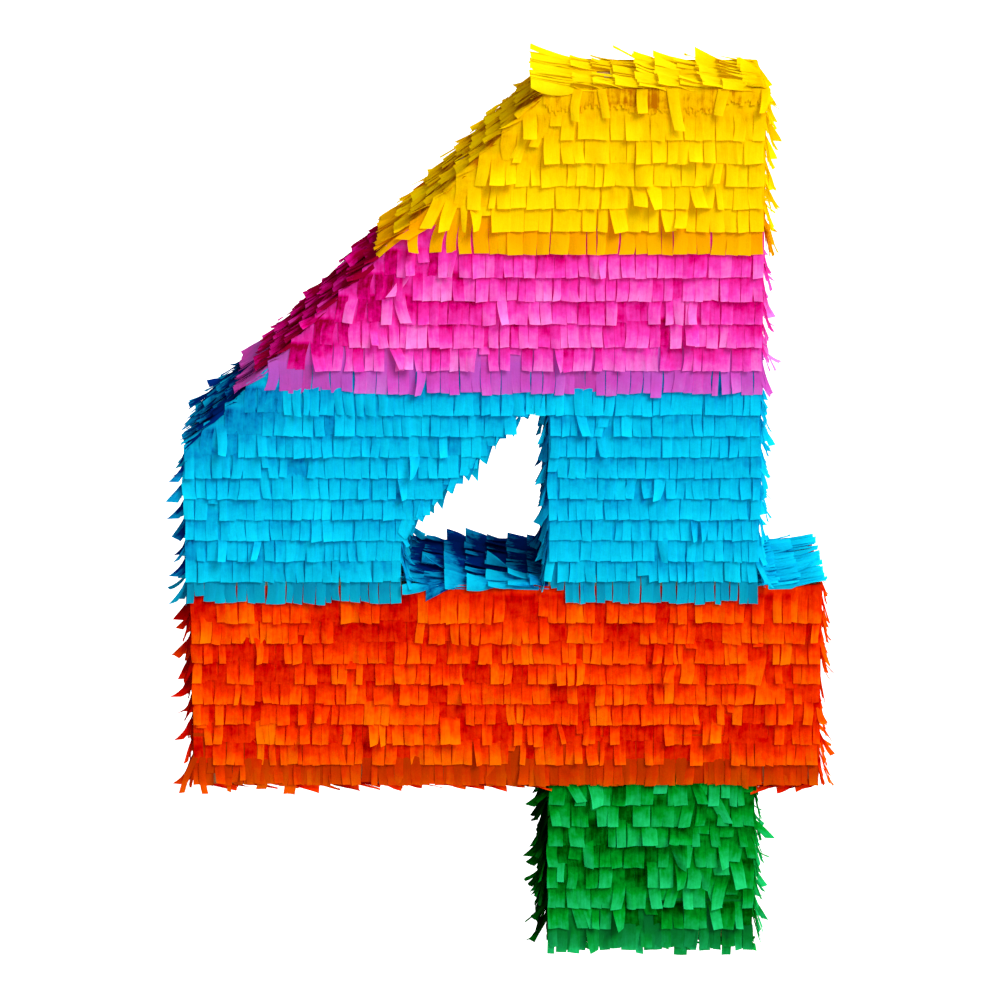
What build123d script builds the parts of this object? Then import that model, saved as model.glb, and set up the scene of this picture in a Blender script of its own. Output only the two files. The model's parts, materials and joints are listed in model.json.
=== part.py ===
from build123d import *
from math import cos, hypot, radians, tan
import os

# A hanging pinata shaped like the numeral four: a hollow cardboard box, taped together inside and
# covered on every face with bands of fringed tissue. +X is the viewer's right, -Y is the front and
# +Z is up. The origin is the middle of the cord hole in the top wall, on the board's outer face.

# ---- Driving dimensions, in millimetres and degrees ----
# The numeral
height = 535            # from the foot of the leg to the top of the stem
stroke = 127            # width of the stem and of the crossbar
overhang = 217.5        # how far the crossbar reaches to the left of the stem
stub_length = 39        # how far it reaches to the right of the stem
leg_length = 103        # how far the leg hangs below the crossbar
slant_angle = 45        # slope of the slanting stroke
window_width = 89.5     # the window lies between the crossbar and the stem
window_side = 36        # height of its short left side; its top side runs along the slant
depth = 100             # front panel to back panel, outside
# Board and tape
board = 3               # corrugated board
tape = 0.3              # gummed paper tape
tape_leg = 12           # how far the tape reaches on each side of a seam
# Cord holes
cord_hole_radius = 3
cord_hole_inset = 32.5  # the top hole, to the right of the stem's left side
slant_hole_reach = 53.5  # the slant hole, to the left of the stem's left side
doubler_size = 36       # square board patch that backs each cord hole
cord_clearance = 8      # radius of the hole left in the fringe for a cord
# Filling flap, cut in the back panel and hinged along its top edge
flap_width = 90
flap_height = 76
flap_drop = 6           # from the end of the yellow band down to the hinge
flap_clearance = 0.8    # slit around the flap
hinge_tape_leg = 5      # how far the hinge tape reaches above and below the hinge
hinge_slack = 0.5       # bare line between the tape's two leaves
# Fringe: each band is a stack of rows, thin where a strip is glued and thick at its cut ends
yellow_band = 99        # measured down the numeral
pink_band = 85.5
blue_lap = 10           # how far the blue band hangs below the crossbar's top
row_pitch = 13.5        # nominal, rounded so that a whole number of rows fits a band
face_glued = 0.8        # on the front and back panels
face_ends = 3
side_glued = 1          # on the walls
side_ends = 4

# ---- Places worked out from them ----
stem_left = -cord_hole_inset
stem_right = stem_left + stroke
far_left = stem_left - overhang
far_right = stem_right + stub_length
bar_bottom = leg_length - height
bar_top = bar_bottom + stroke
slope = tan(radians(slant_angle))
window_left = stem_left - window_width
yellow_end = -yellow_band
pink_end = yellow_end - pink_band
blue_end = bar_top - blue_lap
half_depth = depth / 2
inner_half_depth = half_depth - board
hinge_height = yellow_end - flap_drop
flap_middle = (stem_left + stem_right) / 2


def slant_height(x):
    """Height of the slanting edge at x."""
    return slope * (x - stem_left)


def slant_point(z):
    """Point of the slanting edge at height z."""
    return (stem_left + z / slope, z)


# Both outlines keep the board on their left, so that their right side is always open air.
outline = {
    "slant_wall": (stem_left, 0),
    "left_end_wall": (far_left, slant_height(far_left)),
    "underside_left_wall": (far_left, bar_bottom),
    "leg_left_wall": (stem_left, bar_bottom),
    "leg_bottom_wall": (stem_left, -height),
    "leg_right_wall": (stem_right, -height),
    "underside_right_wall": (stem_right, bar_bottom),
    "stub_end_wall": (far_right, bar_bottom),
    "stub_top_wall": (far_right, bar_top),
    "stem_right_wall": (stem_right, bar_top),
    "top_wall": (stem_right, 0),
}
window = {
    "window_slant_wall": (window_left, bar_top + window_side),
    "window_right_wall": (stem_left, bar_top + window_side + slope * window_width),
    "window_floor_wall": (stem_left, bar_top),
    "window_left_wall": (window_left, bar_top),
}


def shifted(points, distance):
    """The corners of a closed outline after every side moves out by distance, corners mitred."""
    moved = []
    for before, here, after in zip(points[-1:] + points[:-1], points, points[1:] + points[:1]):
        normals = []
        for (x0, z0), (x1, z1) in ((before, here), (here, after)):
            side = hypot(x1 - x0, z1 - z0)
            normals.append(((z1 - z0) / side, (x0 - x1) / side))
        (ax, az), (bx, bz) = normals
        reach = distance / (1 + ax * bx + az * bz)
        moved.append((here[0] + (ax + bx) * reach, here[1] + (az + bz) * reach))
    return moved


def side_band(sides, name, near, far):
    """Four corners of the mitred band between two offsets of one side of an outline."""
    points = list(sides.values())
    first = list(sides).index(name)
    second = (first + 1) % len(points)
    inner = shifted(points, near)
    outer = shifted(points, far)
    return [inner[first], inner[second], outer[second], outer[first]]


def sawtooth(length, glued, ends):
    """Profile of a band of rows as (along, outward) points, starting at its glued end."""
    rows = max(1, round(length / row_pitch))
    pitch = length / rows
    points = [(0, 0)]
    for row in range(rows):
        points += [(row * pitch, glued), ((row + 1) * pitch, ends)]
    return points + [(length, 0)]


def save(piece, name):
    piece.part.label = name
    export_step(piece.part, f"parts/{name}.step")


os.makedirs("parts", exist_ok=True)
slant_direction = Vector(cos(radians(slant_angle)), 0, slope * cos(radians(slant_angle)))
slant_hole_x = stem_left - slant_hole_reach
hole_planes = {
    "top": Plane(origin=(0, 0, 0), x_dir=(1, 0, 0), z_dir=(0, 0, 1)),
    "slant": Plane(
        origin=(slant_hole_x, 0, slant_height(slant_hole_x)),
        x_dir=slant_direction,
        z_dir=slant_direction.cross(Vector(0, 1, 0)),
    ),
}

# ---- Front and back panels ----
with BuildPart() as front_panel:
    with BuildSketch(Plane.XZ.offset(inner_half_depth)):
        with BuildLine():
            Polyline(*outline.values(), close=True)
        make_face()
        with BuildLine():
            Polyline(*window.values(), close=True)
        make_face(mode=Mode.SUBTRACT)
    extrude(amount=board)
front_panel.part.label = "front_panel"
export_step(front_panel.part, "parts/front_panel.step")

with BuildPart() as back_panel:
    with BuildSketch(Plane.XZ.offset(-half_depth)):
        with BuildLine():
            Polyline(*outline.values(), close=True)
        make_face()
        with BuildLine():
            Polyline(*window.values(), close=True)
        make_face(mode=Mode.SUBTRACT)
        with Locations((flap_middle, hinge_height)):
            Rectangle(flap_width, flap_height, align=(Align.CENTER, Align.MAX), mode=Mode.SUBTRACT)
    extrude(amount=board)
back_panel.part.label = "back_panel"
export_step(back_panel.part, "parts/back_panel.step")

# ---- Walls: one strip of board on each side of the outline and of the window ----
holed_walls = {"top_wall": "top", "slant_wall": "slant"}
for sides in (outline, window):
    for name in sides:
        with BuildPart() as wall:
            with BuildSketch(Plane.XZ.offset(-inner_half_depth)):
                with BuildLine():
                    Polyline(*side_band(sides, name, 0, -board), close=True)
                make_face()
            extrude(amount=2 * inner_half_depth)
            if name in holed_walls:
                with BuildSketch(hole_planes[holed_walls[name]]):
                    Circle(cord_hole_radius)
                extrude(amount=-board, mode=Mode.SUBTRACT)
        save(wall, name)

# ---- Cord hole doublers, glued inside the two holed walls ----
for name, plane in hole_planes.items():
    with BuildPart() as doubler:
        with BuildSketch(plane.offset(-board)):
            Rectangle(doubler_size, doubler_size)
            Circle(cord_hole_radius, mode=Mode.SUBTRACT)
        extrude(amount=-board)
    save(doubler, f"{name}_hole_doubler")

# ---- Seam tape: an angle of tape inside each seam between a panel and a wall ----
for face, towards_front in (("front", 1), ("back", -1)):
    seam_plane = Plane.XZ.offset(towards_front * inner_half_depth)
    with BuildPart() as seam_tape:
        for sides in (outline, window):
            for name in sides:
                with BuildSketch(seam_plane):
                    with BuildLine():
                        Polyline(*side_band(sides, name, -board, -board - tape), close=True)
                    make_face()
                extrude(amount=-towards_front * tape_leg)
                with BuildSketch(seam_plane):
                    with BuildLine():
                        Polyline(*side_band(sides, name, -board - tape, -board - tape_leg), close=True)
                    make_face()
                extrude(amount=-towards_front * tape)
    save(seam_tape, f"{face}_seam_tape")

# ---- Filling flap and its tape hinge ----
with BuildPart() as fill_flap:
    with BuildSketch(Plane.XZ.offset(-half_depth)):
        with Locations((flap_middle, hinge_height - hinge_slack)):
            Rectangle(
                flap_width - 2 * flap_clearance,
                flap_height - hinge_slack - flap_clearance,
                align=(Align.CENTER, Align.MAX),
            )
    extrude(amount=board)
fill_flap.part.label = "fill_flap"
export_step(fill_flap.part, "parts/fill_flap.step")

with BuildPart() as hinge_tape_upper:
    with BuildSketch(Plane.XZ.offset(-half_depth)):
        with Locations((flap_middle, hinge_height + hinge_slack)):
            Rectangle(flap_width, hinge_tape_leg, align=(Align.CENTER, Align.MIN))
    extrude(amount=-tape)
hinge_tape_upper.part.label = "hinge_tape_upper"
export_step(hinge_tape_upper.part, "parts/hinge_tape_upper.step")

with BuildPart() as hinge_tape_lower:
    with BuildSketch(Plane.XZ.offset(-half_depth)):
        with Locations((flap_middle, hinge_height - hinge_slack)):
            Rectangle(
                flap_width - 2 * flap_clearance,
                hinge_tape_leg,
                align=(Align.CENTER, Align.MAX),
            )
    extrude(amount=-tape)
hinge_tape_lower.part.label = "hinge_tape_lower"
export_step(hinge_tape_lower.part, "parts/hinge_tape_lower.step")

# ---- Fringe on the front and back panels, one piece for each band of colour ----
bands = {
    "yellow": (0, yellow_end),
    "pink": (yellow_end, pink_end),
    "blue": (pink_end, blue_end),
    "orange": (blue_end, bar_bottom),
    "green": (bar_bottom, -height),
}
for face, outward in (("front", -1), ("back", 1)):
    for colour, (top, bottom) in bands.items():
        profile = [
            (outward * (half_depth + out), top - along)
            for along, out in sawtooth(top - bottom, face_glued, face_ends)
        ]
        with BuildPart() as fringe:
            with BuildSketch(Plane.YZ.offset(far_left)):
                with BuildLine():
                    Polyline(*profile, close=True)
                make_face()
            extrude(amount=far_right - far_left)
            with BuildSketch(Plane.XZ):
                with BuildLine():
                    Polyline(*outline.values(), close=True)
                make_face()
                with BuildLine():
                    Polyline(*window.values(), close=True)
                make_face(mode=Mode.SUBTRACT)
            extrude(amount=half_depth + face_ends, both=True, mode=Mode.INTERSECT)
            if face == "back":
                with BuildSketch(Plane.XZ.offset(-half_depth)):
                    with Locations((flap_middle, yellow_end)):
                        Rectangle(
                            flap_width,
                            flap_drop + flap_height,
                            align=(Align.CENTER, Align.MAX),
                        )
                extrude(amount=-face_ends, mode=Mode.SUBTRACT)
        save(fringe, f"fringe_{colour}_{face}")

# ---- Fringe on the flap ----
flap_fringe_top = hinge_height - hinge_slack - hinge_tape_leg
flap_bottom = hinge_height - flap_height + flap_clearance
flap_profile = [
    (half_depth + out, flap_fringe_top - along)
    for along, out in sawtooth(flap_fringe_top - flap_bottom, face_glued, face_ends)
]
with BuildPart() as fringe_pink_flap:
    with BuildSketch(Plane.YZ.offset(flap_middle - flap_width / 2 + flap_clearance)):
        with BuildLine():
            Polyline(*flap_profile, close=True)
        make_face()
    extrude(amount=flap_width - 2 * flap_clearance)
fringe_pink_flap.part.label = "fringe_pink_flap"
export_step(fringe_pink_flap.part, "parts/fringe_pink_flap.step")

# ---- Fringe on the walls: each band runs along its wall from the first point to the second ----
corner = outline | window
wall_bands = {
    "fringe_yellow_top": ("top_wall", corner["top_wall"], corner["slant_wall"]),
    "fringe_yellow_slant": ("slant_wall", corner["slant_wall"], slant_point(yellow_end)),
    "fringe_pink_slant": ("slant_wall", slant_point(yellow_end), slant_point(pink_end)),
    "fringe_blue_slant": ("slant_wall", slant_point(pink_end), corner["left_end_wall"]),
    "fringe_blue_left": ("left_end_wall", corner["left_end_wall"], (far_left, blue_end)),
    "fringe_orange_left": ("left_end_wall", (far_left, blue_end), (far_left, bar_bottom)),
    "fringe_yellow_right": ("stem_right_wall", (stem_right, 0), (stem_right, yellow_end)),
    "fringe_pink_right": ("stem_right_wall", (stem_right, yellow_end), (stem_right, pink_end)),
    "fringe_blue_right": ("stem_right_wall", (stem_right, pink_end), (stem_right, bar_top)),
    "fringe_blue_stub_top": ("stub_top_wall", (stem_right, bar_top), (far_right, bar_top)),
    "fringe_orange_stub_end": ("stub_end_wall", (far_right, bar_top), (far_right, bar_bottom)),
    "fringe_orange_underside_left": (
        "underside_left_wall", corner["underside_left_wall"], corner["leg_left_wall"]),
    "fringe_orange_underside_right": (
        "underside_right_wall", corner["stub_end_wall"], corner["underside_right_wall"]),
    "fringe_green_leg_left": (
        "leg_left_wall", corner["leg_left_wall"], corner["leg_bottom_wall"]),
    "fringe_green_leg_right": (
        "leg_right_wall", corner["underside_right_wall"], corner["leg_right_wall"]),
    "fringe_green_leg_bottom": (
        "leg_bottom_wall", corner["leg_bottom_wall"], corner["leg_right_wall"]),
    "fringe_blue_window_slant": (
        "window_slant_wall", corner["window_right_wall"], corner["window_slant_wall"]),
    "fringe_blue_window_left": (
        "window_left_wall", corner["window_slant_wall"], corner["window_left_wall"]),
    "fringe_blue_window_right": (
        "window_right_wall", corner["window_right_wall"], corner["window_floor_wall"]),
    "fringe_blue_window_floor": (
        "window_floor_wall", corner["window_floor_wall"], corner["window_left_wall"]),
}
for name, (wall_name, start, end) in wall_bands.items():
    sides = outline if wall_name in outline else window
    room = side_band(sides, wall_name, 0, side_ends)
    # The room's first side lies on the wall, and its third side lies outward of that.
    (x0, z0), (x1, z1) = room[:2]
    wall_length = hypot(x1 - x0, z1 - z0)
    out_x, out_z = (z1 - z0) / wall_length, (x0 - x1) / wall_length
    band_length = hypot(end[0] - start[0], end[1] - start[1])
    along_x, along_z = (end[0] - start[0]) / band_length, (end[1] - start[1]) / band_length
    profile = [
        (start[0] + along * along_x + out * out_x, start[1] + along * along_z + out * out_z)
        for along, out in sawtooth(band_length, side_glued, side_ends)
    ]
    with BuildPart() as fringe:
        with BuildSketch(Plane.XZ.offset(-half_depth)):
            with BuildLine():
                Polyline(*profile, close=True)
            make_face()
            with BuildLine():
                Polyline(*room, close=True)
            make_face(mode=Mode.INTERSECT)
        extrude(amount=depth)
        if name in ("fringe_yellow_top", "fringe_yellow_slant"):
            with BuildSketch(hole_planes[holed_walls[wall_name]]):
                Circle(cord_clearance)
            extrude(amount=side_ends, mode=Mode.SUBTRACT)
    save(fringe, name)
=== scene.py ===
import json
from collections import namedtuple
from math import ceil, cos, pi, radians, sin

import bpy
import numpy as np
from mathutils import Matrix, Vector


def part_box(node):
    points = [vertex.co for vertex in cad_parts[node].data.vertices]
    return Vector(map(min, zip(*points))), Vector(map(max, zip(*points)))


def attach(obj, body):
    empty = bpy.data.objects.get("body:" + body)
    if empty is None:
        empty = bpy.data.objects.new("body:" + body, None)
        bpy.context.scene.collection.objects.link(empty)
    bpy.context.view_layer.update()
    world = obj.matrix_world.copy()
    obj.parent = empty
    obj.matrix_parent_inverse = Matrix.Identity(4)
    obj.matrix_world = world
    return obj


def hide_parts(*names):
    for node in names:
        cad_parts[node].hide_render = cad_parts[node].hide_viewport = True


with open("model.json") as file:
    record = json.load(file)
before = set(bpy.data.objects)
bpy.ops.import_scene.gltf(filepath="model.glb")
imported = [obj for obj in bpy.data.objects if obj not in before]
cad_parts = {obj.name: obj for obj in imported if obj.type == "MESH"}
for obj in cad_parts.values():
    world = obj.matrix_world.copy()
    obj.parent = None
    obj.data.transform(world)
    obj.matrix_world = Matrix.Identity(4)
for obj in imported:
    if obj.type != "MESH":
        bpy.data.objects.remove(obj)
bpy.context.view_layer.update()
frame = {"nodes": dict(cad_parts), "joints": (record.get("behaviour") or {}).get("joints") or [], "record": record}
MM = 0.001

# ---------------------------------------------------------------- the numeral, read from the frame
panel_low, panel_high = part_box("front_panel")
leg_low, leg_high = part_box("leg_bottom_wall")
far_left, far_right = panel_low[0], panel_high[0]
foot, top = panel_low[2], panel_high[2]
stem_left, stem_right = leg_low[0], leg_high[0]
front, back = panel_low[1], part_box("back_panel")[1][1]
bar_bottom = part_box("underside_left_wall")[0][2]
bar_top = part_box("stub_top_wall")[1][2]
slant_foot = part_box("fringe_blue_left")[1][2]
yellow_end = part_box("fringe_yellow_front")[0][2]
pink_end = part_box("fringe_pink_front")[0][2]
blue_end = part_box("fringe_blue_front")[0][2]
window_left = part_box("fringe_blue_window_left")[0][0]
window_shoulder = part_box("fringe_blue_window_left")[1][2]
window_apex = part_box("fringe_blue_window_right")[1][2]
flap_low, flap_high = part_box("fill_flap")
hinge = Vector(frame["joints"][0]["pos_m"])
slant_slope = (top - slant_foot) / (stem_left - far_left)
window_slope = (window_apex - window_shoulder) / (stem_left - window_left)

# ---------------------------------------------------------------- the fringe's driving sizes
STRIP_MARGIN = 14 * MM      # the uncut, glued part of a strip
TAB = 18.5 * MM             # the cut part
LAID = 0.55 * MM            # a glued margin stands this far off the board at its root line,
TUCKED = 0.3 * MM           # and this far at its other edge, under the row above
SECOND_LAYER = 0.35 * MM    # the upper of two strips glued at one height stands this much further off
WRAPPED = 0.4 * MM          # paper folded over an edge stands this far off the next face
FOLD = 3 * MM               # and reaches this far across it
FOLD_UNDER = -0.2 * MM      # a wall's paper folded onto a panel comes this much further off it than
FOLD_OVER = 0.4 * MM        # it was off the wall, which puts it under or over the panel's margins
WRAP = 2.5 * MM             # strips run this far past the ends of a face
OVERHANG = 4 * MM           # tabs hang this far past the window's slanting edge
FIRST_YELLOW_TIP = 30.5 * MM    # the first yellow row ends this far below the top, under the torn strip
LAST_GREEN_TIP = 5 * MM     # the lowest green tabs hang this far below the foot
TORN_WIDTH = 1.3 * MM       # fibres of the torn strip along the top edge
STRAY_TABS = 6              # long tabs that hang from the top edge
APEX_REACH = 12 * MM        # the tabs this near the window's apex hang straight over it
SLANT_REACH = 30 * MM       # the tabs this near the slanting edge are less orderly
WORN_CORNER = 62 * MM       # the crossbar's lowest tabs are ragged this far from its left end
FLAP_GAP = 0.8 * MM         # tissue ends this far from the hinge line and inside the flap's sides
SIDE_GAP = 0.4 * MM         # the tissue beside the flap ends this far from it
SHORTEST = 4 * MM           # no tab beside the window is trimmed shorter than this
LEAST_MARGIN = 0.5 * MM     # every tab has at least this much glued paper above it
NARROWEST = 0.5             # no tab is narrower than this share of the mean width
RAGGED = 0.25 * MM          # how ragged every row but the last one is
LAST_UNRULY = 0.03          # the share of unruly tabs in a band's last row,
WORN_UNRULY = 0.5           # and what is added to the share at the worn corner
WINDOW_UNRULY = 0.2         # and beside the window
UNCUT_TONE = 1.5            # the uncut paper is this much lighter than the roots of the tabs

# how a tab is bent and meshed
STEPS_DOWN = 7
STEPS_ACROSS = 3
GLUED_ROWS = 3              # rows of points in the glued margin, with the one at the root line
SHARES = np.linspace(0, 1, STEPS_DOWN + 1)      # of a tab's length, from its root line to its tip
PLACES = np.linspace(-0.5, 0.5, STEPS_ACROSS + 1)[:, None]  # across a tab, from left to right
BEND_MIDDLE = 0.3           # a bent tab has its lift at this share of its length
OVER_ROW = 0.4 * MM         # a tab stands this far off its own margin's height where it lies on
OVER_ROW_REACH = 4 * MM     # the next row, which begins this far below its root line,
OVER_ROW_SLOPE = 0.012      # and from there it climbs this much over the paper below
TWIST_HEIGHT = 0.45         # a twisted tab stands this share of its width off to clear the board

# rows on a panel, how ragged the last one is, mean tab width and its spread, the shares of tabs that
# copy the tab beside them, are stuck down, or don't lie flat, how much the last two shares and the
# lean grow beside the slanting edge, and the deepest tone
BAND_FIELDS = "rows ragged width spread copied stuck unruly edge_stuck edge_unruly edge_lean deepest"
Band = namedtuple("Band", BAND_FIELDS, defaults=(0, 0, 0, -2))
BANDS = {
    "yellow": Band(
        rows=6, ragged=0.3 * MM, width=7.7 * MM, spread=0.24, copied=0.3, stuck=0.04, unruly=0.1,
        edge_stuck=0.25, edge_unruly=0.4, edge_lean=26, deepest=0.3,
    ),
    "pink": Band(
        rows=6, ragged=0.9 * MM, width=6.4 * MM, spread=0.14, copied=0.3, stuck=0.08, unruly=0.06,
        edge_stuck=0.75, edge_unruly=0.25, edge_lean=16,
    ),
    "blue": Band(
        rows=10, ragged=0.8 * MM, width=5.9 * MM, spread=0.16, copied=0.5, stuck=0.03, unruly=0.05,
        edge_stuck=0.4, edge_unruly=0.12, edge_lean=7, deepest=-0.6,
    ),
    "orange": Band(
        rows=9, ragged=0.4 * MM, width=5.4 * MM, spread=0.24, copied=0.3, stuck=0.26, unruly=0.06,
        deepest=-0.6,
    ),
    "green": Band(
        rows=8, ragged=1.6 * MM, width=7.2 * MM, spread=0.2, copied=0.2, stuck=0.16, unruly=0.42,
    ),
}
PANEL_BANDS = {
    "yellow": (top, yellow_end),
    "pink": (yellow_end, pink_end),
    "blue": (pink_end, blue_end),
    "orange": (blue_end, bar_bottom),
    "green": (bar_bottom, foot),
}
X_AXIS, Y_AXIS, Z_AXIS = np.eye(3)


def slant_x(z):
    """Where the slanting edge is at height z."""
    return far_left if z <= slant_foot else stem_left - (top - z) / slant_slope


def window_x(z):
    """Where the window's left side is at height z."""
    return window_left if z <= window_shoulder else window_left + (z - window_shoulder) / window_slope


def upper_edge(x, z):
    """Height of the board's edge above the point (x, z) of a panel."""
    over_window = window_left < x < stem_left and z < bar_top
    if over_window or x > stem_right:
        return bar_top
    return top if x >= stem_left else top - (stem_left - x) * slant_slope


def panel_spans(z, colour, side):
    """The stretches of x that a strip glued at height z covers. The flap at the back has its own."""
    if (colour, side) == ("pink", "back"):
        return [(slant_x(z) - WRAP, flap_low[0] - SIDE_GAP), (flap_high[0] + SIDE_GAP, stem_right)]
    if colour == "green":
        return [(stem_left, stem_right)]
    if colour == "orange":
        return [(far_left, far_right)]
    if z < window_apex:
        return [(slant_x(z) - WRAP, window_x(z)), (stem_left, stem_right)]
    return [(slant_x(z) - WRAP, stem_right)]


# ---------------------------------------------------------------- how a tab lies
# Angles are in degrees, cup is a share of the tab's width, tone goes from deep to light and on walls also carries
# their painted shade or light, and the last field says how much of the painted light at the tip a tab takes, the
# light that a lifted tip catches.
Pose = namedtuple("Pose", "lift bend lean roll cup tone length fade", defaults=(1,))
FLAT = Pose(lift=0.5, bend=0, lean=0, roll=0, cup=0, tone=0.5, length=1)


def calm_pose(rng):
    return Pose(
        lift=rng.uniform(4, 8),
        bend=rng.normal(6, 7),
        lean=rng.normal(0, 1.4),
        roll=rng.normal(0, 9),
        cup=rng.normal(0, 0.07),
        tone=rng.normal(0, 1),
        length=1,
    )


def stuck_pose(rng):
    """Glued down along its whole length: a smooth, deeper patch, which takes little of the painted light at the
    tip.
    """
    lean, tone, length = rng.normal(0, 1), rng.normal(-0.8, 0.4), rng.uniform(0.9, 1)
    return FLAT._replace(lean=lean, tone=tone, length=length, fade=0.4)


def unruly_pose(rng):
    """Curled up, pushed aside, twisted or torn short."""
    kind = rng.integers(4)
    tone, length = rng.normal(0.8, 1), 1
    if kind == 0:
        lift, bend = rng.uniform(8, 22), rng.uniform(20, 75)
        lean, roll, cup = rng.normal(0, 6), rng.normal(0, 18), 0.1
    elif kind == 1:
        lift, bend = rng.uniform(5, 12), rng.normal(0, 10)
        lean, roll, cup = rng.normal(0, 15), rng.normal(0, 14), 0.05
    elif kind == 2:
        lift, bend = rng.uniform(5, 16), rng.normal(10, 15)
        lean, roll, cup = rng.normal(0, 8), rng.uniform(25, 70) * rng.choice([-1, 1]), 0.04
    else:
        lift, bend = rng.uniform(5, 12), rng.normal(0, 10)
        lean, roll, cup, length = rng.normal(0, 8), 0, 0.03, rng.uniform(0.45, 0.8)
    return Pose(lift, bend, lean, roll, cup, tone, length)


def next_pose(rng, copied, stuck, unruly, before):
    """The next tab's pose. Neighbours often lie alike, because one hand smoothed them down."""
    chance = rng.random()
    if chance < unruly:
        return unruly_pose(rng)
    if before is not None and rng.random() < copied:
        roll, tone = before.roll + rng.normal(0, 2), before.tone + rng.normal(0, 0.35)
        return before._replace(roll=roll, tone=tone)
    return stuck_pose(rng) if chance < unruly + stuck else calm_pose(rng)


def worth_copying(pose):
    return pose if abs(pose.lean) < 4 and pose.length > 0.85 else None


# ---------------------------------------------------------------- ribbons: one for each cut tab
def bent(pose, length):
    """How far down, and how far off the board, the middle of a tab is at each of SHARES."""
    pitch = np.radians(pose.lift + pose.bend * (SHARES - BEND_MIDDLE))
    middle = (pitch[1:] + pitch[:-1]) / 2
    step = length / STEPS_DOWN
    run = np.concatenate([[0], np.cumsum(np.cos(middle) * step)])
    rise = np.concatenate([[0], np.cumsum(np.sin(middle) * step)])
    over_next_row = OVER_ROW * np.minimum(1, np.abs(run) / OVER_ROW_REACH) + np.abs(run) * OVER_ROW_SLOPE
    return run, np.maximum(rise, over_next_row)


def glued_rows(level, margin, down, out, wrap):
    """Points of the uncut paper from its far edge down to the root line, and how far above the root
    line they are on the paper."""
    tucked = out * (LAID - TUCKED)
    if wrap:
        edge = level - down * (margin + WRAPPED)
        return [edge - out * (FOLD + LAID), edge - tucked, level], [margin + FOLD, margin, 0 * margin]
    far = level - down * margin - tucked
    halfway = level - down * margin / 2 - tucked / 2
    return [far, halfway, level], [margin, margin / 2, 0 * margin]


# what the material reads at every point: how far down its tab it is, which sets the painted shade at the root and
# the painted light at the tip, the tab's tone, which on walls carries their painted shade or light, and how much
# of a last row's own colour it takes
ATTRIBUTES = ("along", "tone", "last")


class Fringe:
    """The tabs of one fringe piece. Each is a ribbon that starts with its share of the glued margin."""

    def __init__(self, name, seed):
        self.name = name
        self.rng = np.random.default_rng(seed)
        self.points, self.papers, self.values = [], [], []
        self.strip_length = 0.0
        self.paper_area = 0.0

    def tab(self, root, axes, width, margins, length, pose, last=0.0, wrap=False, uncut=UNCUT_TONE):
        """One tab. root is the left end of its root line, and margins are the glued lengths above its
        two ends. With wrap, the margin folds over the edge of the board. uncut is the margin's tone."""
        along, down, out = axes
        length = length * pose.length
        margin = margins[0] + (margins[1] - margins[0]) * (PLACES + 0.5)
        level = root + along * width * (PLACES + 0.5) + out * LAID
        glued, above = glued_rows(level, margin, down, out, wrap)
        cut = self.cut_rows(root + along * width / 2, axes, width, length, pose)
        below = [np.full_like(PLACES, part * length) for part in SHARES[1:]]
        self.points.append(np.concatenate(glued + cut))
        down_paper = np.concatenate([-rise for rise in above] + below)[:, 0]
        across_paper = np.tile((self.strip_length + width * (PLACES + 0.5))[:, 0], len(glued + cut))
        self.papers.append(np.stack([across_paper, down_paper, 0 * down_paper], axis=1))
        # along runs from the painted shade at the root to the painted light at the tip
        alongs = np.clip(down_paper / TAB, 0, 1) * pose.fade
        tones = np.where(down_paper > 0, pose.tone, uncut)
        self.values.append(np.stack([alongs, tones, np.full(len(alongs), last)]))
        self.strip_length += width
        self.paper_area += width * (sum(margins) / 2 + FOLD * wrap + length)

    def cut_rows(self, root_middle, axes, width, length, pose):
        """Points of the cut part, row by row below the root line. Every tab has its own height, taper,
        slanting cut, ripple and sideways bow."""
        rng = self.rng
        along, down, out = axes
        height = LAID + rng.uniform(0, 0.25) * MM
        taper = 1 - SHARES * rng.uniform(0, 0.06)
        slanting = rng.normal(0, 0.2) * MM
        wave, phase = rng.normal(0, 0.18) * MM, rng.uniform(0, 2 * pi)
        bow = rng.normal(0, 0.03) * length
        run, rise = bent(pose, length)
        turn = np.radians(pose.roll) * SHARES
        rise += np.abs(np.sin(turn)) * width * TWIST_HEIGHT
        lean = radians(pose.lean)
        rows = []
        for i, part in enumerate(SHARES):
            aside = sin(lean) * run[i] + bow * sin(pi * part)
            centre = root_middle + along * aside + down * run[i] * cos(lean)
            across = along * cos(turn[i]) + out * sin(turn[i])
            swell = pose.cup * width * (1 - 4 * PLACES**2) * sin(part * pi / 2)
            ripple = wave * part * np.sin(9 * part + 5 * PLACES + phase)
            rows.append(
                centre
                + out * (rise[i] + height + swell + ripple)
                + across * (width * taper[i] * PLACES)
                + down * (slanting * 2 * PLACES * part)
            )
        return rows[1:]

    def build(self, material):
        """The finished mesh object, with the attributes that its material reads."""
        columns = STEPS_ACROSS + 1
        rows = GLUED_ROWS + STEPS_DOWN
        grid = np.arange(rows * columns).reshape(rows, columns)
        quads = np.stack([grid[:-1, :-1], grid[:-1, 1:], grid[1:, 1:], grid[1:, :-1]], axis=-1)
        starts = np.arange(len(self.points)) * rows * columns
        faces = (quads.reshape(1, -1, 4) + starts[:, None, None]).reshape(-1, 4)
        mesh = bpy.data.meshes.new(self.name)
        mesh.from_pydata(np.concatenate(self.points).tolist(), [], faces.tolist())
        values = np.concatenate(self.values, axis=1).astype(np.float32)
        for label, row in zip(ATTRIBUTES, values):
            mesh.attributes.new(label, "FLOAT", "POINT").data.foreach_set("value", row)
        paper = np.concatenate(self.papers).astype(np.float32)
        mesh.attributes.new("paper", "FLOAT_VECTOR", "POINT").data.foreach_set("vector", paper.ravel())
        mesh.shade_smooth()
        mesh.materials.append(material)
        piece = bpy.data.objects.new(self.name, mesh)
        bpy.context.scene.collection.objects.link(piece)
        return piece


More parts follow.
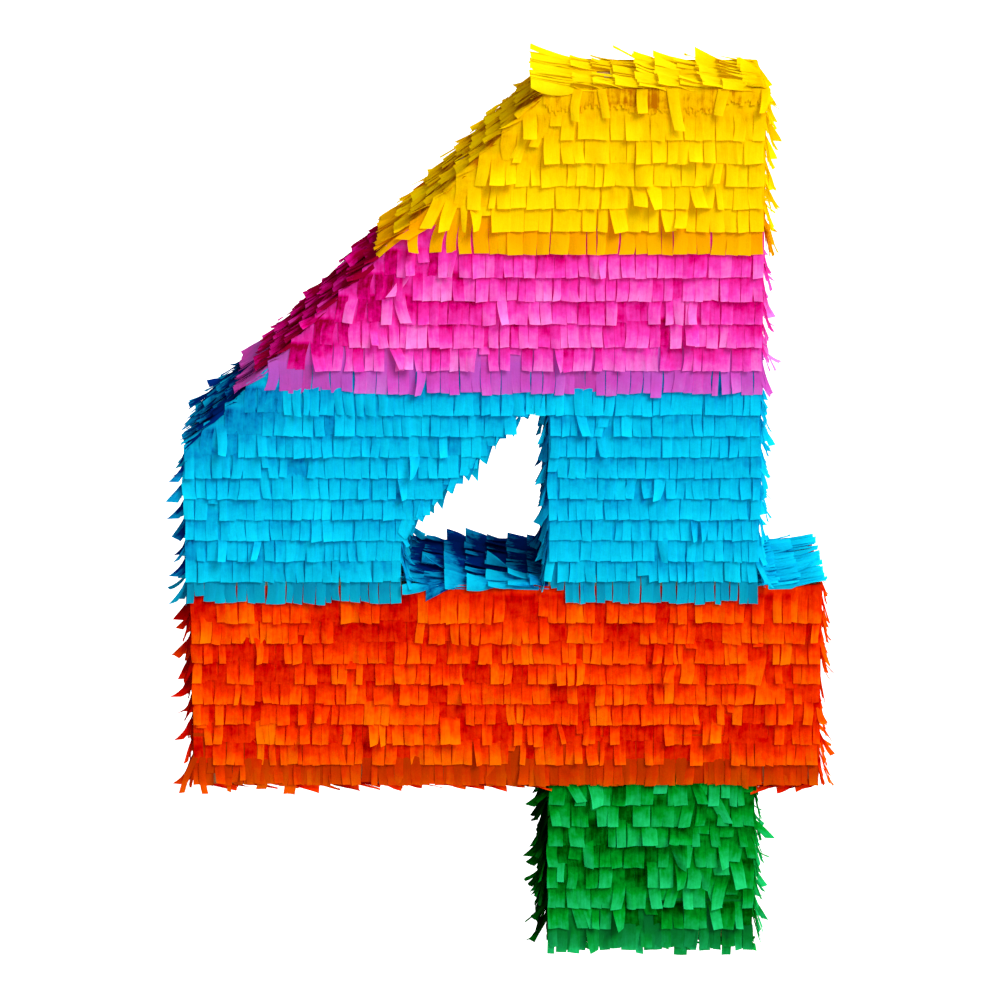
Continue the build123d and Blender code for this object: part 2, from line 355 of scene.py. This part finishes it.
def cut_widths(rng, length, mean, spread):
    """Widths of the tabs that a strip of this length is cut into."""
    widths = []
    while sum(widths) < length:
        widths.append(max(NARROWEST * mean, rng.normal(mean, spread * mean)))
    total = sum(widths)
    return [w * length / total for w in widths]


# a row on a panel: the height of its tips, whether it is its band's last one, and whether it is the
# upper one of two strips at that height
Row = namedtuple("Row", "tip is_last is_doubled")


def row_tips(colour):
    """Heights of a panel band's cut ends, from the top row down."""
    band_top, band_end = PANEL_BANDS[colour]
    rows = BANDS[colour].rows
    if colour == "yellow":
        return np.linspace(band_top - FIRST_YELLOW_TIP, band_end, rows)
    if colour == "green":
        band_end -= LAST_GREEN_TIP
    tips = np.linspace(band_top, band_end, rows + 1)[1:]
    # the lowest rows of the crossbar and leg are doubled, because nothing lies behind them
    return np.append(tips, tips[-1]) if colour in ("orange", "green") else tips


def glued_margins(x, z, width, left, right, ceiling):
    """Lengths of glued paper above the two ends of a root line, and whether they fold over an edge."""
    ends = [min(max(x + i * width, left + 0.1 * MM), right - 0.1 * MM) for i in (0, 1)]
    gaps = [max(LEAST_MARGIN, upper_edge(e, z) - z) for e in ends]
    at_slant = min(gaps) < STRIP_MARGIN / 2 and max(gaps) < 2 * STRIP_MARGIN
    if at_slant or max(gaps) < STRIP_MARGIN + MM:
        return gaps, True
    below_ceiling = max(LEAST_MARGIN, ceiling - z)
    return [min(STRIP_MARGIN, gap, below_ceiling) for gap in gaps], False


def panel_row(fringe, colour, side, axes, row):
    """One row of tabs across the front or back panel."""
    band, rng = BANDS[colour], fringe.rng
    face_y = front if side == "front" else back
    ceiling = bar_top if colour == "orange" else top
    root_z = min(row.tip + TAB, top - STRIP_MARGIN)
    if colour == "green":
        root_z = min(root_z, bar_bottom + 2 * MM)
    tilt, phase = rng.normal(0, 0.002), rng.uniform(0, 2 * pi)
    ragged = band.ragged if row.is_last else RAGGED
    for left, right in panel_spans(root_z, colour, side):
        beside_window = right < stem_left and row.tip > bar_top
        x, before = left, None
        for width in cut_widths(rng, right - left, band.width, band.spread):
            z = root_z + tilt * (x - left) + 0.5 * MM * sin(40 * x + phase)
            middle = x + width / 2
            margins, wrap = glued_margins(x, z, width, left, right, ceiling)
            length = z - row.tip + rng.normal(0, ragged)
            unruly, stuck = (LAST_UNRULY, band.stuck / 2) if row.is_last else (band.unruly, band.stuck)
            near_slant = max(0, 1 - (x - slant_x(z)) / SLANT_REACH) if z > slant_foot else 0
            worn = row.is_doubled and colour == "orange" and middle < far_left + WORN_CORNER
            length += worn * rng.uniform(-2, 7) * MM
            unruly += band.edge_unruly * near_slant + WORN_UNRULY * worn
            stuck += band.edge_stuck * near_slant
            if beside_window and middle > window_left:
                edge = window_shoulder + (middle - window_left) * window_slope
                length = min(length, max(SHORTEST, z - edge + OVERHANG * rng.uniform(0.2, 1.8)))
                unruly += WINDOW_UNRULY
            pose = next_pose(rng, band.copied, stuck, unruly, before)
            before = worth_copying(pose)
            if row.tip < window_apex < z and abs(middle - stem_left) < APEX_REACH:
                pose = calm_pose(rng)._replace(lean=0, roll=0)
            lean = pose.lean - near_slant * rng.uniform(0, band.edge_lean)
            pose = pose._replace(lean=lean, tone=max(pose.tone - near_slant, band.deepest))
            last = row.is_last * rng.uniform(0.5, 1)
            root = np.array([x, face_y, z]) + axes[2] * SECOND_LAYER * row.is_doubled
            fringe.tab(root, axes, width, margins, length, pose, last, wrap)
            x += width


def panel_fringe(colour, side, seed):
    """Rows of tabs across the front or back panel, and what hangs over or beside them."""
    face_y, out_y = (front, -1) if side == "front" else (back, 1)
    axes = (X_AXIS, -Z_AXIS, Y_AXIS * out_y)
    fringe = Fringe(f"tissue_{colour}_{side}", seed)
    tips = row_tips(colour)
    for i, tip in enumerate(tips):
        row = Row(tip, is_last=tip == tips[-1], is_doubled=i > 0 and tip == tips[i - 1])
        panel_row(fringe, colour, side, axes, row)
    if colour == "yellow":
        torn_strip(fringe, face_y, axes)
        stray_tabs(fringe, face_y, axes)
    if (colour, side) == ("pink", "back"):
        strip_above_flap(fringe, axes)
    return fringe


def torn_strip(fringe, face_y, axes):
    """A smooth strip glued along the stem's top edge, with its lower edge torn instead of cut. Glue
    has stained the middle of it."""
    rng = fringe.rng
    stain_middle = stem_left + 0.38 * (stem_right - stem_left)
    stain_reach, stain_strength = 28 * MM, 1.5
    x, depth, narrow, wide = stem_left - 4 * MM, 9 * MM, 6 * MM, 12 * MM
    while x < stem_right:
        depth = min(max(depth + rng.normal(0, 0.8) * MM, narrow), wide)
        z = top - depth
        width = min(TORN_WIDTH * rng.uniform(0.7, 1.6), stem_right - x)
        margins, wrap = glued_margins(x, z, width, x, x + width, top)
        stain = max(0, 1 - ((x - stain_middle) / stain_reach) ** 2)
        tone = rng.normal(0.2, 0.4) - stain_strength * stain
        pose = Pose(rng.uniform(2, 14), rng.normal(0, 15), rng.normal(0, 10), 0, 0, tone + stain, 1)
        root = np.array([x, face_y, z]) + axes[2] * 0.5 * MM
        fringe.tab(root, axes, width, margins, rng.uniform(0.6, 4) * MM, pose, 0, wrap, tone)
        x += width


def stray_tabs(fringe, face_y, axes):
    """A few long tabs of the top's fringe that have slipped over its edge."""
    rng = fringe.rng
    for i in range(STRAY_TABS):
        x = stem_left + (stem_right - stem_left) * (i + rng.uniform(0.2, 0.9)) / STRAY_TABS
        lift, bend = rng.uniform(4, 12), rng.normal(0, 12)
        lean, roll = rng.normal(0, 12), rng.normal(0, 25)
        pose = Pose(lift, bend, lean, roll, cup=0.08, tone=1.2, length=1)
        root = np.array([x, face_y, top - MM]) + axes[2] * MM
        width, length = rng.uniform(4, 7) * MM, rng.uniform(12, 27) * MM
        fringe.tab(root, axes, width, [LEAST_MARGIN] * 2, length, pose, wrap=True)


def strip_above_flap(fringe, axes):
    """The uncut strip that hides the hinge tape above the flap. It is glued down almost to its end."""
    length = yellow_end + TAB - hinge.z
    root = np.array([flap_low[0], back, hinge.z + 2 * FLAP_GAP])
    width = flap_high[0] - flap_low[0]
    fringe.tab(root, axes, width, [length - FLAP_GAP] * 2, FLAP_GAP, FLAT)


# Each wall's band of fringe. start and end are its corners and outward tells which way is out.
# begins says what is at its start: a corner of the board, a band of another colour, or an inner corner. Then come
# how its rows lift, the share of unruly tabs, how far the tabs along its front and back edges curl and twist out,
# the mean tab width, its tone, which is painted shade on the slanting, left, lower and window walls that the light
# doesn't reach and painted light on the top and the stub's top, how far the tabs along its front edge lean over
# it, and how far its strips run past its front and back edges.
WALL_FIELDS = "start end outward begins lift unruly curl twist width tone front_lean wrap"
Wall = namedtuple("Wall", WALL_FIELDS, defaults=(8, 0.12, 20, 15, 6 * MM, 0, 0, WRAP))
BROAD = 8 * MM
top_left, top_right = (stem_left, top), (stem_right, top)
yellow_corner, yellow_right_end = (slant_x(yellow_end), yellow_end), (stem_right, yellow_end)
pink_corner, pink_right_end = (slant_x(pink_end), pink_end), (stem_right, pink_end)
blue_corner, left_seam = (far_left, slant_foot), (far_left, blue_end)
stem_foot_right, stub_corner = (stem_right, bar_top), (far_right, bar_top)
bar_left_end, bar_right_end = (far_left, bar_bottom), (far_right, bar_bottom)
leg_left_top, leg_right_top = (stem_left, bar_bottom), (stem_right, bar_bottom)
foot_left, foot_right = (stem_left, foot), (stem_right, foot)
window_peak, window_corner = (stem_left, window_apex), (window_left, window_shoulder)
floor_left, floor_right = (window_left, bar_top), (stem_left, bar_top)
WALLS = {
    "yellow_top": Wall(
        top_right, top_left, -1, "corner", lift=4, unruly=0.08, curl=8, twist=10, width=1.5 * BROAD,
        tone=2, front_lean=14,
    ),
    "yellow_slant": Wall(
        top_left, yellow_corner, -1, "corner", lift=3, unruly=0.05, curl=12, twist=14, width=BROAD,
        tone=-2,
    ),
    "pink_slant": Wall(
        yellow_corner, pink_corner, -1, "band", lift=3, unruly=0.05, curl=12, twist=14, width=BROAD,
        tone=-5,
    ),
    "blue_slant": Wall(
        pink_corner, blue_corner, -1, "band", lift=4, unruly=0.06, curl=25, twist=20, width=BROAD, tone=-5
    ),
    "blue_left": Wall(
        blue_corner, left_seam, -1, "corner", unruly=0.1, curl=55, twist=60, width=BROAD, tone=-4.5
    ),
    "orange_left": Wall(
        left_seam, bar_left_end, -1, "band", unruly=0.1, curl=60, twist=60, width=BROAD, tone=-4
    ),
    "yellow_right": Wall(top_right, yellow_right_end, 1, "corner", unruly=0.2),
    "pink_right": Wall(yellow_right_end, pink_right_end, 1, "band", unruly=0.2, twist=20),
    "blue_right": Wall(pink_right_end, stem_foot_right, 1, "band", lift=9, unruly=0.2),
    "blue_stub_top": Wall(
        stem_foot_right, stub_corner, 1, "inside", lift=2, unruly=0.08, curl=5, twist=10, tone=1.5
    ),
    "orange_stub_end": Wall(stub_corner, bar_right_end, 1, "corner", lift=9, curl=25),
    "orange_underside_left": Wall(
        bar_left_end, leg_left_top, -1, "corner", lift=3, unruly=0.05, curl=8, width=BROAD, tone=-2
    ),
    "orange_underside_right": Wall(
        bar_right_end, leg_right_top, 1, "corner", lift=2, unruly=0.05, curl=5, width=BROAD, tone=-2
    ),
    "green_leg_left": Wall(
        leg_left_top, foot_left, -1, "inside", lift=9, curl=45, twist=55, width=BROAD, tone=-5.5
    ),
    "green_leg_right": Wall(leg_right_top, foot_right, 1, "inside", lift=9, unruly=0.2),
    "green_leg_bottom": Wall(
        foot_left, foot_right, -1, "corner", lift=4, unruly=0.08, curl=8, twist=20, width=BROAD, tone=-3
    ),
    "blue_window_slant": Wall(
        window_peak, window_corner, 1, "inside", lift=6, unruly=0.08, curl=15, twist=30, width=BROAD,
        tone=-5, wrap=7 * MM,
    ),
    "blue_window_left": Wall(
        window_corner, floor_left, 1, "inside", unruly=0.2, curl=60, twist=40, width=BROAD, tone=-4
    ),
    "blue_window_right": Wall(
        window_peak, floor_right, -1, "inside", lift=4, unruly=0.03, curl=12, twist=30, width=BROAD,
        tone=-5,
    ),
    "blue_window_floor": Wall(
        floor_right, floor_left, -1, "inside", lift=3, unruly=0.06, curl=8, twist=20, width=1.5 * BROAD,
        tone=-5.5, front_lean=30,
    ),
}
WALL_PITCH = 13.5 * MM
WALL_COPIED, WALL_STUCK, WALL_SPREAD = 0.3, 0.05, 0.2    # as the fields of a Band
LAST_SHARE = 0.8            # how much a last row on a wall or on the flap takes on its own colour
LAST_ROWS = ("yellow_slant", "pink_slant", "blue_left", "yellow_right", "pink_right", "orange_left")
END_REACH = 2.5 * MM        # a wall's last tabs hang this far past its end
TOP_REACH = 12 * MM         # and those of the top this far past the stem's left corner
EDGE_ZONE = 9 * MM          # tabs this near the front or back edge curl and twist out,
EDGE_SHARE = 0.7            # this share of them
LEAN_ZONE = 30 * MM         # tabs this near the front edge lean over it
# painted light inside the window: its walls are painted lighter towards the front, where light reaches in, over
# WINDOW_REACH
WINDOW_LIGHT = 4            # the window's walls are this much lighter at the front
WINDOW_REACH = 45 * MM
CORD_GAP = 4 * MM           # tissue keeps this far from the middle of a cord hole


def beside_cords(root, axes, width, margin, length):
    """The margin and length that leave room for the cord at every cord hole. A length of 0 means that
    there is no room for the tab."""
    across, down, out = axes
    for mount in frame["record"]["mounts"]:
        way = np.array(mount["pos_m"]) - root
        ahead = way @ down
        in_line = -CORD_GAP < way @ across < width + CORD_GAP
        if abs(way @ out) > 10 * MM or not in_line:
            continue
        if ahead > 0:
            length = min(length, max(0, ahead - CORD_GAP))
        else:
            margin = min(margin, max(0, -ahead - CORD_GAP))
            length = length if margin > 0 else 0
    return margin, length


def folded(points, origin, out, gap):
    """Wall paper that runs past the front or back edge, laid over it layer by layer."""
    height = np.maximum((points - origin) @ out, 0)
    low, high = front - gap - height, back + gap + height
    over = np.maximum(low - points[:, 1], 0) + np.maximum(points[:, 1] - high, 0)
    points[:, 1] = np.clip(points[:, 1], low, high)
    return points - out * over[:, None]


def curled_at_edge(rng, pose, wall, from_edge):
    """The pose of a tab this far from a wall's front or back edge, where many curl and twist out."""
    if from_edge >= EDGE_ZONE or rng.random() >= EDGE_SHARE:
        return pose
    twist = wall.twist * rng.uniform(0.4, 1.4) * rng.choice([-1, 1])
    bend = wall.curl * rng.uniform(0.1, 1.6)
    return pose._replace(roll=twist, bend=bend, lean=pose.lean + rng.normal(0, 5))


def wall_row(fringe, name, axes, start, root_s, tip, is_last):
    """One row of tabs across a wall. start is the front end of the edge where the wall's band starts,
    and root_s and tip are how far below that edge the row's root line and tips are."""
    wall, rng, depth = WALLS[name], fringe.rng, back - front
    last = LAST_SHARE * (is_last and name in LAST_ROWS)
    row_lift = max(0, rng.normal(wall.lift, 0.35 * wall.lift) - 5)
    wrap = wall.begins == "corner" and root_s < STRIP_MARGIN
    margin = STRIP_MARGIN if wall.begins == "band" else min(STRIP_MARGIN, root_s + 0.2 * MM)
    if wrap:
        margin = root_s
    y, before = -wall.wrap * rng.uniform(0.5, 1.5), None
    for width in cut_widths(rng, depth + wall.wrap - y, wall.width, WALL_SPREAD):
        root = start + axes[1] * (root_s + rng.normal(0, 0.2) * MM) + Y_AXIS * y
        length = tip - root_s + rng.normal(0, 0.5) * MM
        pose = next_pose(rng, WALL_COPIED, WALL_STUCK, wall.unruly, before)
        before = worth_copying(pose)
        # the wall's tone is painted shade or painted light, and in the window painted light falls off from its
        # front edge
        tone = wall.tone
        if "window" in name:
            tone += WINDOW_LIGHT * max(0, 1 - y / WINDOW_REACH)
        lean = pose.lean - wall.front_lean * rng.uniform(0.3, 1) * max(0, 1 - y / LEAN_ZONE)
        pose = pose._replace(lift=pose.lift + row_lift, lean=lean, tone=pose.tone + tone)
        pose = curled_at_edge(rng, pose, wall, min(y + width / 2, depth - y - width / 2))
        glued, length = beside_cords(root, axes, width, margin, length)
        if length > 0:
            fringe.tab(root, axes, width, [glued] * 2, length, pose, last, wrap, UNCUT_TONE + tone)
        y += width


def wall_fringe(name, seed):
    """Rows of tabs across a wall, from its front edge to its back edge."""
    wall = WALLS[name]
    travel = np.array([wall.end[0] - wall.start[0], 0.0, wall.end[1] - wall.start[1]])
    band_length = np.linalg.norm(travel)
    down = travel / band_length
    out = np.array([-down[2], 0.0, down[0]]) * wall.outward
    axes = (Y_AXIS, down, out)
    origin = np.array([wall.start[0], front, wall.start[1]])
    rows = ceil(band_length / WALL_PITCH)
    pitch = band_length / rows
    fringe = Fringe(f"tissue_{name}", seed)
    # the lowest row is doubled, because nothing lies behind it
    for layer, row in enumerate((*range(rows), rows - 1)):
        is_last, is_doubled = row == rows - 1, layer == rows
        tip = pitch * (row + 1)
        root_s = max(tip - TAB, 0)
        if is_last:
            tip += TOP_REACH if name == "yellow_top" else END_REACH
        start = origin + out * SECOND_LAYER * is_doubled
        wall_row(fringe, name, axes, start, root_s, tip, is_last)
    gap = FOLD_OVER if wall.front_lean else FOLD_UNDER
    fringe.points = [folded(points, origin, out, gap) for points in fringe.points]
    return fringe


def flap_fringe(seed):
    """The flap's own rows, which end just past its lower edge."""
    band = BANDS["pink"]
    fringe = Fringe("tissue_pink_flap", seed)
    rng = fringe.rng
    tips = [tip for tip in row_tips("pink") if tip < hinge.z - TAB / 2]
    left, right = flap_low[0] + FLAP_GAP, flap_high[0] - FLAP_GAP
    for tip in tips:
        root_z = min(tip + TAB, hinge.z - 4 * MM)
        margin = min(STRIP_MARGIN, hinge.z - FLAP_GAP - root_z)
        x, before = left, None
        for width in cut_widths(rng, right - left, band.width, band.spread):
            root = np.array([x, back, root_z + rng.normal(0, 0.2) * MM])
            length = root[2] - tip + rng.normal(0, 0.3) * MM
            pose = next_pose(rng, band.copied, band.stuck, band.unruly, before)
            before = worth_copying(pose)
            axes = (X_AXIS, -Z_AXIS, Y_AXIS)
            fringe.tab(root, axes, width, [margin] * 2, length, pose, LAST_SHARE * (tip == tips[-1]))
            x += width
    return fringe


# ---------------------------------------------------------------- materials
def srgb(r, g, b):
    """Linear colour of an 8-bit sRGB one."""
    return [((c / 255 + 0.055) / 1.055) ** 2.4 if c > 10 else c / 255 / 12.92 for c in (r, g, b)] + [1.0]


# what a shader node takes as a setting of its own, and not as a socket's value
NODE_SETTINGS = "operation blend_type data_type attribute_name wave_type bands_direction".split()


class Shader:
    """A material whose nodes are added and linked one line at a time."""

    def __init__(self, name):
        self.material = bpy.data.materials.new(name)
        self.material.use_nodes = True
        self.tree = self.material.node_tree
        self.surface = self.tree.nodes["Principled BSDF"]
        self.output = self.tree.nodes["Material Output"]

    def node(self, kind, **settings):
        made = self.tree.nodes.new(kind)
        for key, value in settings.items():
            if key in NODE_SETTINGS:
                setattr(made, key, value)
            else:
                made.inputs[key.replace("_", " ")].default_value = value
        return made

    def link(self, source, target):
        self.tree.links.new(source, target)

    def math(self, operation, a, b):
        made = self.node("ShaderNodeMath", operation=operation)
        for socket, value in zip(made.inputs, (a, b)):
            if isinstance(value, (int, float)):
                socket.default_value = value
            else:
                self.link(value, socket)
        return made.outputs[0]

    def mix(self, factor, a, b, blend_type="MIX"):
        made = self.node("ShaderNodeMix", data_type="RGBA", blend_type=blend_type)
        for socket, value in zip((made.inputs["Factor"], made.inputs[6], made.inputs[7]), (factor, a, b)):
            if isinstance(value, (int, float, list)):
                socket.default_value = value
            else:
                self.link(value, socket)
        return made.outputs[2]


TISSUE = {
    # deep at the root, a painted shade under the row above, main, light at the tip, a painted light where the tips
    # lift, and the last row's colour: the next colour showing through it, and on green, whose last row hangs past
    # the foot, a painted shade
    "yellow": (srgb(240, 188, 0), srgb(252, 214, 0), srgb(255, 234, 10), srgb(246, 168, 0)),
    "pink": (srgb(226, 0, 134), srgb(248, 64, 194), srgb(255, 148, 232), srgb(200, 92, 202)),
    "blue": (srgb(4, 146, 204), srgb(6, 194, 232), srgb(10, 226, 252), srgb(10, 142, 180)),
    "orange": (srgb(212, 4, 0), srgb(246, 56, 0), srgb(255, 124, 0), srgb(186, 54, 0)),
    "green": (srgb(0, 84, 4), srgb(0, 156, 36), srgb(36, 216, 128), srgb(10, 110, 50)),
}
DEEPEST = {
    # paper in folds that no light reaches from the front
    "yellow": srgb(190, 112, 0),
    "pink": srgb(156, 0, 46),
    "blue": srgb(0, 40, 120),
    "orange": srgb(150, 0, 0),
    "green": srgb(0, 30, 0),
}


def tissue(colour):
    """Dyed tissue paper: soft fibres, fine creases down the tabs, and light that comes through it. Its colour also
    carries painted shade at the tabs' roots and painted light at their tips.
    """
    s = Shader(f"tissue_{colour}")
    along, tone, last = (
        s.node("ShaderNodeAttribute", attribute_name=label).outputs["Fac"] for label in ATTRIBUTES
    )
    paper = s.node("ShaderNodeAttribute", attribute_name="paper").outputs["Vector"]
    lengthwise = s.node("ShaderNodeVectorMath", operation="MULTIPLY")
    lengthwise.inputs[1].default_value = (1, 0.12, 1)
    s.link(paper, lengthwise.inputs[0])
    cloud = s.node("ShaderNodeTexNoise", Scale=150.0, Detail=4.0, Roughness=0.6)
    fibre = s.node("ShaderNodeTexNoise", Scale=1100.0, Detail=3.0, Roughness=0.7)
    crinkle = s.node("ShaderNodeTexNoise", Scale=300.0, Detail=3.0, Roughness=0.55, Distortion=0.6)
    crease = s.node("ShaderNodeTexNoise", Scale=520.0, Detail=2.0, Roughness=0.6)
    for source in (cloud, fibre, crinkle):
        s.link(paper, source.inputs["Vector"])
    s.link(lengthwise.outputs[0], crease.inputs["Vector"])
    # painted shade and light: deep at the roots of the tabs and light at their tips, with each tab's tone and its
    # wall's painted shade or light
    shade = s.math("ADD", s.math("MULTIPLY", along, 0.56), s.math("MULTIPLY", tone, 0.11))
    shade = s.math("ADD", shade, 0.2)
    # cloud adds the paper's mottle and painted crinkle shade, and crease adds painted shade along the creases that
    # its bump draws
    shade = s.math("ADD", shade, s.math("MULTIPLY", s.math("SUBTRACT", cloud.outputs[0], 0.5), 0.7))
    shade = s.math("ADD", shade, s.math("MULTIPLY", s.math("SUBTRACT", crease.outputs[0], 0.5), 0.4))
    ramp = s.node("ShaderNodeValToRGB")
    stops = ramp.color_ramp.elements
    stops[0].position, stops[1].position = 0.0, 1.0
    stops.new(0.2)
    stops.new(0.5)
    for stop, value in zip(stops, (DEEPEST[colour], *TISSUE[colour])):
        stop.color = value
    s.link(shade, ramp.inputs[0])
    # a last row takes the next colour showing through it, and on green, whose last row hangs past the foot, a
    # painted shade
    see_through_and_shade = s.math("MULTIPLY", last, s.math("SUBTRACT", 1.1, s.math("MULTIPLY", along, 0.35)))
    body = s.mix(see_through_and_shade, ramp.outputs[0], TISSUE[colour][3])
    speck = s.math("ADD", s.math("MULTIPLY", s.math("SUBTRACT", fibre.outputs[0], 0.5), 0.25), 1.0)
    tint = s.mix(1.0, body, speck, "MULTIPLY")
    s.link(tint, s.surface.inputs["Base Color"])
    s.surface.inputs["Roughness"].default_value = 0.8
    s.surface.inputs["Specular IOR Level"].default_value = 0.0
    last_normal = None
    reliefs = ((crinkle, 0.35, 0.6 * MM), (crease, 0.4, 0.5 * MM), (fibre, 0.15, 0.1 * MM))
    for source, strength, distance in reliefs:
        bump = s.node("ShaderNodeBump", Strength=strength, Distance=distance)
        s.link(source.outputs[0], bump.inputs["Height"])
        if last_normal is not None:
            s.link(last_normal, bump.inputs["Normal"])
        last_normal = bump.outputs[0]
    s.link(last_normal, s.surface.inputs["Normal"])
    glow = s.node("ShaderNodeBsdfTranslucent")
    s.link(tint, glow.inputs["Color"])
    both = s.node("ShaderNodeMixShader", Fac=0.36)
    s.link(s.surface.outputs[0], both.inputs[1])
    s.link(glow.outputs[0], both.inputs[2])
    s.link(both.outputs[0], s.output.inputs["Surface"])
    return s.material


def kraft(name, base, dark, flute, roughness):
    """Kraft paper or board: long fibres, flecks and, on board, faint lines from the flutes inside."""
    s = Shader(name)
    place = s.node("ShaderNodeTexCoord").outputs["Object"]
    cloud = s.node("ShaderNodeTexNoise", Scale=35.0, Detail=5.0, Roughness=0.65)
    fleck = s.node("ShaderNodeTexNoise", Scale=700.0, Detail=2.0, Roughness=0.7)
    lines = s.node(
        "ShaderNodeTexWave", wave_type="BANDS", bands_direction="X", Scale=flute, Distortion=0.6
    )
    for source in (cloud, fleck, lines):
        s.link(place, source.inputs["Vector"])
    body = s.mix(cloud.outputs[0], dark, base)
    body = s.mix(s.math("MULTIPLY", fleck.outputs[0], 0.35), body, dark)
    body = s.mix(s.math("MULTIPLY", lines.outputs[1], 0.12), body, dark)
    s.link(body, s.surface.inputs["Base Color"])
    s.surface.inputs["Roughness"].default_value = roughness
    s.surface.inputs["Specular IOR Level"].default_value = 0.15
    bump = s.node("ShaderNodeBump", Strength=0.4, Distance=0.2 * MM)
    s.link(lines.outputs[1], bump.inputs["Height"])
    fine = s.node("ShaderNodeBump", Strength=0.3, Distance=0.1 * MM)
    s.link(fleck.outputs[0], fine.inputs["Height"])
    s.link(bump.outputs[0], fine.inputs["Normal"])
    s.link(fine.outputs[0], s.surface.inputs["Normal"])
    return s.material


# ---------------------------------------------------------------- the camera, lights and floor
FILL_DARK, FILL_BRIGHT = 0.22, 0.95    # soft light from the two ends of the studio
FILL_FROM = (0.8, -0.6, 0)             # where its bright end is


def add_sun(name, energy, spread, towards):
    """A sun in this direction, as soft as its spread in degrees makes it."""
    sun = bpy.data.objects.new(name, bpy.data.lights.new(name, "SUN"))
    sun.data.energy = energy
    sun.data.angle = radians(spread)
    sun.rotation_euler = Vector(towards).to_track_quat("Z", "Y").to_euler()
    bpy.context.scene.collection.objects.link(sun)


def set_stage():
    """The camera in front, two suns, a white studio and a white floor well below the part."""
    view_pitch = radians(15.5)
    view_distance = 2.53
    aim = Vector((stem_left - 29.5 * MM, front, foot + 284 * MM))
    camera = bpy.data.objects.new("camera", bpy.data.cameras.new("camera"))
    camera.data.lens = 150.8
    camera.data.sensor_width = 36
    camera.location = aim + Vector((0, -cos(view_pitch), sin(view_pitch))) * view_distance
    camera.rotation_euler = (pi / 2 - view_pitch, 0, 0)
    scene = bpy.context.scene
    scene.collection.objects.link(camera)
    scene.camera = camera
    scene.view_settings.view_transform = "Standard"

    add_sun("key", 3.1, 26, (0.44, -0.62, 0.65))
    add_sun("behind", 1.7, 40, (0.25, 0.86, 0.42))

    world = bpy.data.worlds.new("studio")
    world.use_nodes = True
    tree = world.node_tree
    seen = tree.nodes["Background"]
    seen.inputs["Color"].default_value = (1, 1, 1, 1)
    seen.inputs["Strength"].default_value = 1.0
    fill = tree.nodes.new("ShaderNodeBackground")
    fill.inputs["Color"].default_value = (1, 1, 1, 1)
    way = tree.nodes.new("ShaderNodeVectorMath")
    way.operation = "DOT_PRODUCT"
    way.inputs[1].default_value = FILL_FROM
    tree.links.new(tree.nodes.new("ShaderNodeTexCoord").outputs["Generated"], way.inputs[0])
    across = tree.nodes.new("ShaderNodeMapRange")
    across.inputs["From Min"].default_value = -1
    across.inputs["To Min"].default_value = FILL_DARK
    across.inputs["To Max"].default_value = FILL_BRIGHT
    tree.links.new(way.outputs["Value"], across.inputs[0])
    tree.links.new(across.outputs[0], fill.inputs["Strength"])
    path = tree.nodes.new("ShaderNodeLightPath")
    both = tree.nodes.new("ShaderNodeMixShader")
    tree.links.new(path.outputs["Is Camera Ray"], both.inputs[0])
    tree.links.new(fill.outputs[0], both.inputs[1])
    tree.links.new(seen.outputs[0], both.inputs[2])
    tree.links.new(both.outputs[0], tree.nodes["World Output"].inputs[0])
    scene.world = world

    size, drop = 40.0, 1.0
    corners = [(x * size, y * size, foot - drop) for x, y in ((-1, -1), (1, -1), (1, 1), (-1, 1))]
    mesh = bpy.data.meshes.new("floor")
    mesh.from_pydata(corners, [], [(0, 1, 2, 3)])
    floor = bpy.data.objects.new("floor", mesh)
    scene.collection.objects.link(floor)
    s = Shader("floor")
    s.surface.inputs["Base Color"].default_value = (0.9, 0.9, 0.9, 1)
    s.surface.inputs["Roughness"].default_value = 0.9
    s.surface.inputs["Emission Color"].default_value = (1, 1, 1, 1)
    s.surface.inputs["Emission Strength"].default_value = 0.5
    mesh.materials.append(s.material)
    floor.visible_diffuse = False
    floor.visible_glossy = False


# ---------------------------------------------------------------- making everything
set_stage()
board = kraft("corrugated_board", srgb(196, 156, 108), srgb(160, 118, 74), 45.0, 0.85)
paper_tape = kraft("gummed_tape", srgb(205, 168, 120), srgb(178, 138, 92), 160.0, 0.6)
for name, node in frame["nodes"].items():
    for material_slot in node.material_slots:
        material_slot.material = paper_tape if "tape" in name else board

tissues = {colour: tissue(colour) for colour in BANDS}


def place_fringe(fringe, node, body):
    """Builds a fringe, which rides on a body and stands in for its plain CAD node."""
    piece = fringe.build(tissues[node.split("_")[1]])
    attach(piece, body)
    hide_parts(node)


seed = 100
for side in ("front", "back"):
    for colour in BANDS:
        seed += 1
        place_fringe(panel_fringe(colour, side, seed), f"fringe_{colour}_{side}", "shell")
for name in WALLS:
    seed += 1
    place_fringe(wall_fringe(name, seed), f"fringe_{name}", "shell")
place_fringe(flap_fringe(seed + 1), "fringe_pink_flap", "fill_flap")
